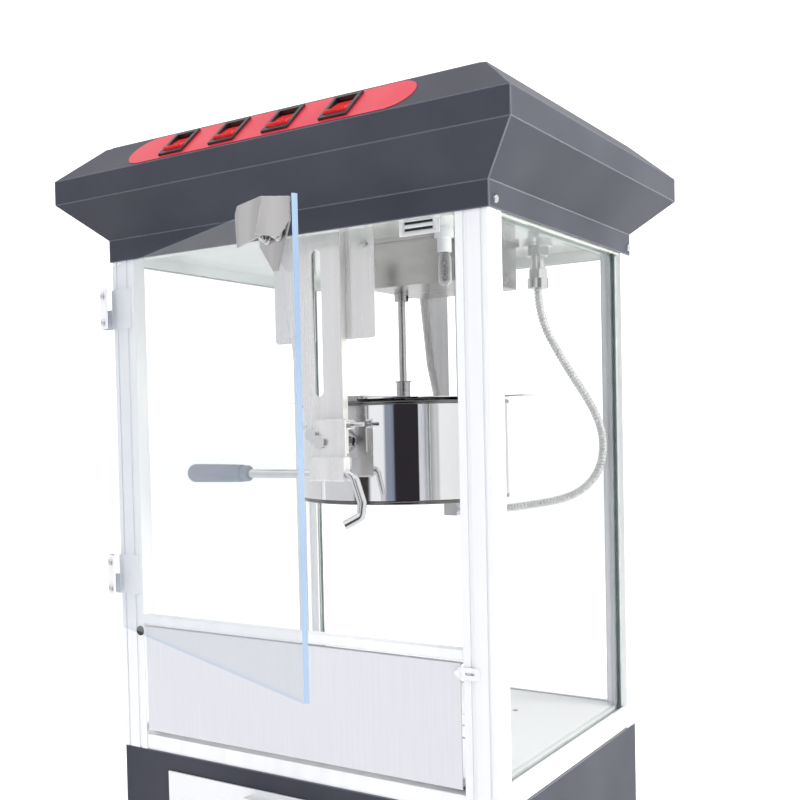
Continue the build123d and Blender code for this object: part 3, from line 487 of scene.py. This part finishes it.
# %% Floor
bpy.ops.object.select_all(action="DESELECT")
feet_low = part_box("rubber_feet")[0].z
bpy.ops.mesh.primitive_plane_add(size=30, location=(0, 0, feet_low))
floor = bpy.context.object
floor.name = "studio_floor"
floor_finish = surface("pale_floor", (0.90, 0.90, 0.90), (0.92, 0.92, 0.92), (0.6, 0.7), scale=2,
                       grain=60, bump=0.02, specular=0.1)
floor_shader = floor_finish.node_tree.nodes["Principled BSDF"]
floor_shader.inputs["Emission Color"].default_value = (1, 1, 1, 1)
floor_shader.inputs["Emission Strength"].default_value = 0.25
dress(floor, floor_finish)
floor.visible_glossy = False
print("floor at", round(feet_low, 4))

# %% [markdown]
# ## Turned pieces
# Pots, knobs and bulbs are round about an axis. The quickest way to model one is a lathe:
# draw half of its outline and spin it. The outline starts as one point, made by merging a tiny
# plane's corners, and each next point is extruded from the last one. The spin's first and last
# rows then meet, so doubles are merged and the normals are made to face outwards.

# %% A lathe
def start_clean():
    bpy.ops.object.select_all(action="DESELECT")


def lathe(name, centre, axis, profile, finish, steps=96, sharp=40):
    """Spins a profile of (distance along the axis, radius) pairs about the X, Y or Z axis."""
    along = {"X": Vector((1, 0, 0)), "Y": Vector((0, 1, 0)), "Z": Vector((0, 0, 1))}[axis]
    outward = Vector((1, 0, 0)) if axis == "Z" else Vector((0, 0, 1))
    points = [Vector(centre) + along * height + outward * radius for height, radius in profile]
    start_clean()
    bpy.ops.mesh.primitive_plane_add(size=0.0001, location=points[0])
    piece = bpy.context.object
    piece.name = name
    bpy.ops.object.transform_apply(location=True, rotation=True, scale=True)
    bpy.ops.object.mode_set(mode="EDIT")
    bpy.ops.mesh.select_all(action="SELECT")
    bpy.ops.mesh.merge(type="CENTER")
    for before, after in zip(points, points[1:]):
        bpy.ops.mesh.extrude_vertices_move(TRANSFORM_OT_translate={"value": after - before})
    bpy.ops.mesh.select_all(action="SELECT")
    bpy.ops.mesh.spin(steps=steps, angle=2 * math.pi, center=centre, axis=along)
    bpy.ops.mesh.select_all(action="SELECT")
    bpy.ops.mesh.remove_doubles(threshold=0.00002)
    bpy.ops.mesh.normals_make_consistent(inside=False)
    bpy.ops.object.mode_set(mode="OBJECT")
    bpy.ops.object.shade_smooth_by_angle(angle=math.radians(sharp))
    dress(piece, finish)
    print("turned", name, len(piece.data.polygons), "faces")
    return piece


def arc(middle_height, middle_radius, radius, start, end, count=8):
    """Points of a profile on an arc. Angles are in degrees, 0 outwards and 90 up the axis."""
    angles = [math.radians(start + (end - start) * i / count) for i in range(count + 1)]
    return [(middle_height + radius * math.sin(a), middle_radius + radius * math.cos(a)) for a in angles]


# %% [markdown]
# ## Kettle
# The kettle is a spun pot: a flat bottom, a straight wall and an edge rolled over a wire, which
# shows as a thick bead under the lid. Below it a shallow pan hides the heating ring.
# The measured pot gives the axis, the radius and both heights, so the two pots can't drift apart.

# %% Pot and pan
pot_low, pot_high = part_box("kettle_pot")
pot_axis = ((pot_low.x + pot_high.x) / 2, (pot_low.y + pot_high.y) / 2, 0)
pot_radius = (pot_high.x - pot_low.x) / 2
wall = 0.0015
bead = 0.0022
bottom, rim = pot_low.z, pot_high.z
inside = pot_radius - wall
pot_profile = [(bottom + 0.002, 0)]
pot_profile += arc(bottom + 0.005, inside - 0.003, 0.003, -90, 0)
pot_profile += [(rim - 0.006, inside)]
pot_profile += [(rim - 0.001, inside), (rim - 0.001, pot_radius)]
pot_profile += [(bottom + 0.030 * i, pot_radius) for i in (2, 1)]
pot_profile += [(bottom, pot_radius), (bottom, 0)]
pot = lathe("kettle_pot_spun", pot_axis, "Z", pot_profile, mirror_steel, steps=144)
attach(pot, "kettle")
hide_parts("kettle_pot")

# the bead is real, and its dark steel is painted shade for the dark band under the lid
bead_profile = arc(rim - bead, pot_radius, bead, 0, 360, 20)
rolled_edge = lathe("kettle_rolled_edge", pot_axis, "Z", bead_profile, painted_shade_steel, steps=144)
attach(rolled_edge, "kettle")

pan_low, pan_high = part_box("kettle_base")
pan_radius = pot_radius
pan_profile = [(pan_low.z, 0)]
pan_profile += arc(pan_low.z + 0.0016, pan_radius - 0.0014, 0.0016, -90, 70)
pan_profile += [(pan_low.z + 0.0034, pan_radius - 0.0009), (pan_low.z + 0.0040, pan_radius)]
pan_profile += [(pan_high.z, pan_radius), (pan_high.z, pan_radius - 0.0012)]
pan_profile += arc(pan_low.z + 0.0045, pan_radius - 0.0047, 0.0033, 0, -90)
pan_profile += [(pan_low.z + 0.0012, 0)]
pan = lathe("kettle_pan_spun", pot_axis, "Z", pan_profile, mirror_steel, steps=144)
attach(pan, "kettle")
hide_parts("kettle_base")

# the rolled foot is real, and its dark steel is painted shade for the dark band along the pan's bottom
# edge
foot_profile = arc(pan_low.z + 0.0019, pan_radius - 0.0008, 0.0019, 0, 360, 16)
foot = lathe("kettle_foot_bead", pot_axis, "Z", foot_profile, painted_shade_steel, steps=144)
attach(foot, "kettle")

# %% [markdown]
# ## Grip
# The kettle is tipped by a rod with a moulded grip. The grip is a little thicker at its free end,
# which is half a ball, and it steps down to a collar where the rod goes in.

# %% Moulded grip
grip_low, grip_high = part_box("handle_grip")
grip_axis = (0, (grip_low.y + grip_high.y) / 2, (grip_low.z + grip_high.z) / 2)
grip_radius = (grip_high.z - grip_low.z) / 2
cap_x = grip_low.x + grip_radius
grip_profile = [(cap_x - grip_radius * math.cos(turn_of), grip_radius * math.sin(turn_of))
                for turn_of in (math.radians(a) for a in range(0, 91, 9))]
grip_profile += [(cap_x + 0.030, 0.0094), (grip_high.x - 0.0100, 0.0089), (grip_high.x - 0.0092, 0.0085)]
grip_profile += [(grip_high.x - 0.0090, 0.0074), (grip_high.x - 0.0060, 0.0074)]
grip_profile += [(grip_high.x - 0.0058, 0.0082), (grip_high.x - 0.0012, 0.0080)]
grip_profile += [(grip_high.x, 0.0070), (grip_high.x, 0.0046), (grip_high.x - 0.004, 0.0046)]
grip_profile += [(grip_high.x - 0.004, 0)]
grip = lathe("moulded_grip", grip_axis, "X", grip_profile, grip_plastic, steps=64, sharp=30)
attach(grip, "kettle")
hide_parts("handle_grip")

# %% [markdown]
# ## Lamp
# A small halogen lamp hangs from the ceiling: a tube of clear glass with a tip, a thin coil of
# wire inside, and a white ceramic holder. Clear glass is mostly seen by its bright rim,
# so its finish is transparent where it faces the eye and mirrors more towards its edges.

# %% Capsule and filament
def lamp_glass_finish():
    finish, nodes, links, shader = new_finish("clear_lamp_glass")
    through = nodes.new("ShaderNodeBsdfTransparent")
    through.inputs["Color"].default_value = (0.90, 0.90, 0.91, 1)
    facing = nodes.new("ShaderNodeLayerWeight")
    facing.inputs["Blend"].default_value = 0.45
    mix = nodes.new("ShaderNodeMixShader")
    links.new(facing.outputs["Facing"], mix.inputs["Fac"])
    links.new(through.outputs["BSDF"], mix.inputs[1])
    links.new(shader.outputs["BSDF"], mix.inputs[2])
    haze = stretched_noise(nodes, links, 60.0)
    tones = two_tone(nodes, links, haze, (0.42, 0.43, 0.45), (0.55, 0.56, 0.58))
    links.new(tones, shader.inputs["Base Color"])
    links.new(spread(nodes, links, haze, 0.04, 0.10), shader.inputs["Roughness"])
    links.new(mix.outputs["Shader"], nodes["Material Output"].inputs["Surface"])
    return finish


bulb_low, bulb_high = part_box("lamp_bulb")
bulb_axis = ((bulb_low.x + bulb_high.x) / 2, (bulb_low.y + bulb_high.y) / 2, 0)
bulb_radius = (bulb_high.x - bulb_low.x) / 2
bulb_profile = [(bulb_low.z, 0), (bulb_low.z + 0.0010, 0.0012), (bulb_low.z + 0.0030, 0.0018)]
bulb_profile += arc(bulb_low.z + 0.0085, 0.0010, bulb_radius - 0.0010, -75, 0)
bulb_profile += [(bulb_high.z - 0.006, bulb_radius), (bulb_high.z - 0.002, bulb_radius * 0.8)]
bulb_profile += [(bulb_high.z, bulb_radius * 0.7), (bulb_high.z, 0)]
bulb = lathe("lamp_capsule", bulb_axis, "Z", bulb_profile, lamp_glass_finish(), steps=48)
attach(bulb, "frame")
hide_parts("lamp_bulb")
wire_profile = [(bulb_low.z + 0.010, 0)]
for turn_number in range(8):
    wire_profile += [(bulb_low.z + 0.0105 + turn_number * 0.0018, 0.0016),
                     (bulb_low.z + 0.0114 + turn_number * 0.0018, 0.0009)]
wire_profile += [(bulb_low.z + 0.026, 0.0005), (bulb_high.z - 0.001, 0.0005), (bulb_high.z - 0.001, 0)]
wire = lathe("lamp_filament", bulb_axis, "Z", wire_profile, machined, steps=24, sharp=25)
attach(wire, "frame")

# %% [markdown]
# ## Slotted plate
# A small plate with two long slots hangs from the ceiling behind the front skirt. It starts as a
# thin box, its edges are bevelled, and two bars cut the slots. A black strip lies behind them as
# painted shade, so the slots read as openings onto shadow.

# %% Plate and backing
def thin_box(name, low, high, finish, round_by):
    """A box between two corners with bevelled edges, its place in its mesh."""
    start_clean()
    middle = [(a + b) / 2 for a, b in zip(low, high)]
    bpy.ops.mesh.primitive_cube_add(size=1, location=middle, scale=[b - a for a, b in zip(low, high)])
    piece = bpy.context.object
    piece.name = name
    bpy.ops.object.transform_apply(location=True, rotation=True, scale=True)
    bpy.ops.object.mode_set(mode="EDIT")
    bpy.ops.mesh.select_all(action="SELECT")
    bpy.ops.mesh.bevel(offset=round_by, segments=2, affect="EDGES")
    bpy.ops.object.mode_set(mode="OBJECT")
    bpy.ops.object.shade_smooth_by_angle(angle=math.radians(40))
    dress(piece, finish)
    print("box", name, len(piece.data.polygons), "faces")
    return piece


ceiling_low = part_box("ceiling_plate")[0].z
slotted = thin_box("slotted_plate", (0.115, -0.1420, ceiling_low - 0.017),
                   (0.157, -0.1405, ceiling_low - 0.0002), brushed_pale, 0.0004)
for number, drop in enumerate((0.0055, 0.0115)):
    bar = thin_box("slot_bar", (0.1205, -0.146, ceiling_low - drop - 0.0013),
                   (0.1505, -0.136, ceiling_low - drop + 0.0013), bezel_black, 0.0003)
    cut = slotted.modifiers.new(f"slot_{number}", "BOOLEAN")
    cut.object, cut.operation, cut.solver = bar, "DIFFERENCE", "EXACT"
    start_clean()
    bpy.context.view_layer.objects.active = slotted
    slotted.select_set(True)
    bpy.ops.object.modifier_apply(modifier=f"slot_{number}")
    bpy.data.objects.remove(bar)
dress(slotted, brushed_pale)
# a black strip behind the slots: painted shade that stands for the shadow beyond the openings
shade_backing = thin_box("slotted_plate_shade_backing", (0.118, -0.1404, ceiling_low - 0.015),
                   (0.154, -0.1395, ceiling_low - 0.002), bezel_black, 0.0003)
for piece, slot_name in ((slotted, "brushed_steel"), (shade_backing, "black_plastic")):
    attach(piece, "frame")

# %% [markdown]
# ## Drive shaft
# The shaft that turns the stirrer is a plain ground rod. A washer sits on the lid's hub, and the
# measured shaft gives the rod's ends and axis; the rod's radius is a set 4 mm.

# %% Ground rod and washer
shaft_low, shaft_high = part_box("drive_shaft")
shaft_axis = ((shaft_low.x + shaft_high.x) / 2, (shaft_low.y + shaft_high.y) / 2, 0)
rod_radius = 0.0040
rod_profile = [(shaft_low.z, 0), (shaft_low.z, rod_radius - 0.0006), (shaft_low.z + 0.0006, rod_radius)]
hub_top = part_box("kettle_crossbar")[1].z
rod_profile += [(hub_top + 0.0003, rod_radius), (hub_top + 0.0003, 0.0090), (hub_top + 0.0006, 0.0094)]
rod_profile += [(hub_top + 0.0012, 0.0094), (hub_top + 0.0015, 0.0090), (hub_top + 0.0015, rod_radius)]
rod_profile += [(shaft_high.z - 0.0006, rod_radius)]
rod_profile += [(shaft_high.z, rod_radius - 0.0006), (shaft_high.z, 0)]
ground_rod = lathe("drive_shaft_ground", shaft_axis, "Z", rod_profile, ground_steel, steps=48)
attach(ground_rod, "stirrer_assembly")
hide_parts("drive_shaft")

# %% [markdown]
# ## Screw heads
# A domed head with a cross slot holds each hinge leaf on the door, and two capped nuts hold the
# door's handle. One head is shaped and then copied to every place.
# The head's half outline is spun into a dome; a cross of two bars is cut out of it.

# %% A domed head
def domed_head(name, radius, height, finish):
    """A screw head on the origin that faces +Z, with a cross slot cut by a Boolean."""
    profile = [(0, 0), (0, radius), (height * 0.25, radius)]
    profile += [(height * (0.25 + 0.75 * math.sin(a)), radius * math.cos(a))
                for a in (math.radians(d) for d in (15, 35, 55, 72))]
    profile += [(height, 0)]
    head = lathe(name, (0, 0, 0), "Z", profile, finish, steps=24, sharp=50)
    long_side, short_side = radius * 1.1, radius * 0.26
    for bar_name, wide, deep in (("across", long_side, short_side), ("along", short_side, long_side)):
        start_clean()
        bpy.ops.mesh.primitive_cube_add(size=1, location=(0, 0, height),
                                        scale=(wide, deep, height * 1.1))
        bar = bpy.context.object
        start_clean()
        cut = head.modifiers.new(bar_name, "BOOLEAN")
        cut.object, cut.operation, cut.solver = bar, "DIFFERENCE", "EXACT"
        bpy.context.view_layer.objects.active = head
        bpy.ops.object.modifier_apply(modifier=bar_name)
        bpy.data.objects.remove(bar)
    return head


def copy_to(model, name, place, towards, body):
    """A copy of a piece with its own mesh: its +Z turned towards a direction, its place baked in."""
    twin = bpy.data.objects.new(name, model.data.copy())
    bpy.context.scene.collection.objects.link(twin)
    turned = Vector(towards).to_track_quat("Z", "Y").to_matrix().to_4x4()
    twin.data.transform(Matrix.Translation(place) @ turned)
    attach(twin, body)
    return twin


# %% Heads on the door's hinges
head_model = domed_head("head_model", 0.0040, 0.0026, plated)
door_way = Vector((math.cos(door_turn), -math.sin(door_turn), 0))
door_out = Vector((-math.sin(door_turn), -math.cos(door_turn), 0))
door_axis = Vector((-0.231, -0.181, 0))
hinge_low, hinge_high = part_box("door_hinge_leaves")
hinge_length = 0.042
head_places = []
for low in (hinge_low.z, hinge_high.z - hinge_length):
    for z in (low + 0.007, low + hinge_length - 0.007):
        head_places.append(door_axis + door_way * 0.011 + door_out * 0.0042 + Vector((0, 0, z)))
for number, place in enumerate(head_places):
    copy_to(head_model, f"hinge_screw_{number + 1}", place, door_out, "door")
print("hinge screws", len(head_places))

# %% Capped nuts on the door's handle
nut_profile = [(0, 0), (0, 0.0068), (0.0008, 0.0068), (0.0010, 0.0052), (0.0036, 0.0052)]
nut_profile += [(0.0038 + 0.0040 * math.sin(math.radians(a)), 0.0048 * math.cos(math.radians(a)))
                for a in (0, 25, 50, 72)]
nut_profile += [(0.0078, 0)]
nut_model = lathe("nut_model", (0, 0, 0), "Z", nut_profile, plated, steps=32, sharp=35)
sheet_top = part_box("door_sheet")[1].z
door_length = (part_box("door_sheet")[1].x - door_axis.x) / math.cos(door_turn)
for number, back in enumerate((0.037, 0.019)):
    place = door_axis + door_way * (door_length - back) + door_out * 0.0041
    place.z = sheet_top - 0.026
    copy_to(nut_model, f"capped_nut_{number + 1}", place, door_out, "door")
bpy.data.objects.remove(nut_model)
bpy.data.objects.remove(head_model)

# %% [markdown]
# ## Armoured lead
# The wires to the kettle run in a hose of steel strip, wound so that each turn hooks into the
# next: it bends freely and shows as a row of rings. Its line is a smooth NURBS spline through the
# same route as the measured tube. One ring is turned, an Array repeats it, and a Curve modifier
# lays the row along the line. Ring count and pitch come from the line's length.

# %% The hose's line
route = [(157, 78, 613), (157, 78, 583), (177, 97, 533), (202, 124, 480), (206.8, 135, 445),
         (199, 138.5, 412), (174, 129, 386), (122, 106, 376.5), (88, 90, 373), (58.2, 90, 373)]
line_data = bpy.data.curves.new("hose_line", "CURVE")
line_data.dimensions = "3D"
line_data.resolution_u = 24
spline = line_data.splines.new("NURBS")
spline.points.add(len(route) - 1)
for point, place in zip(spline.points, route):
    point.co = (place[0] / 1000, place[1] / 1000, place[2] / 1000, 1)
spline.order_u = 3
spline.use_endpoint_u = True
line = bpy.data.objects.new("hose_line", line_data)
bpy.context.scene.collection.objects.link(line)
bpy.context.view_layer.update()
line_mesh = bpy.data.meshes.new_from_object(line)
line_points = [v.co.copy() for v in line_mesh.vertices]
hose_length = sum((b - a).length for a, b in zip(line_points, line_points[1:]))
print("hose line", len(line_points), "points", round(hose_length, 4), "m")

# %% Rings along the line
ring_count = round(hose_length / 0.0036)
pitch = hose_length / ring_count
ring_profile = [(0, 0.0033), (pitch * 0.16, 0.0034), (pitch * 0.26, 0.0042), (pitch * 0.4, 0.0045),
                (pitch * 0.76, 0.0045), (pitch * 0.90, 0.0042), (pitch, 0.0033)]
hose = lathe("armoured_hose", (0, 0, 0), "X", ring_profile, armour, steps=20, sharp=60)
row = hose.modifiers.new("row", "ARRAY")
row.fit_type = "FIXED_COUNT"
row.count = ring_count
row.use_relative_offset = False
row.use_constant_offset = True
row.constant_offset_displace = (pitch, 0, 0)
row.use_merge_vertices = True
row.merge_threshold = 0.00005
bpy.ops.object.modifier_apply(modifier="row")
bpy.ops.object.mode_set(mode="EDIT")
bpy.ops.mesh.select_all(action="SELECT")
bpy.ops.mesh.fill_holes(sides=0)
bpy.ops.mesh.select_all(action="SELECT")
bpy.ops.mesh.normals_make_consistent(inside=False)
bpy.ops.object.mode_set(mode="OBJECT")
lay = hose.modifiers.new("lay", "CURVE")
lay.object = line
lay.deform_axis = "POS_X"
bpy.ops.object.modifier_apply(modifier="lay")
bpy.data.objects.remove(line)
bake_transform(hose)
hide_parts("conduit")
print("hose", ring_count, "rings", len(hose.data.polygons), "faces")
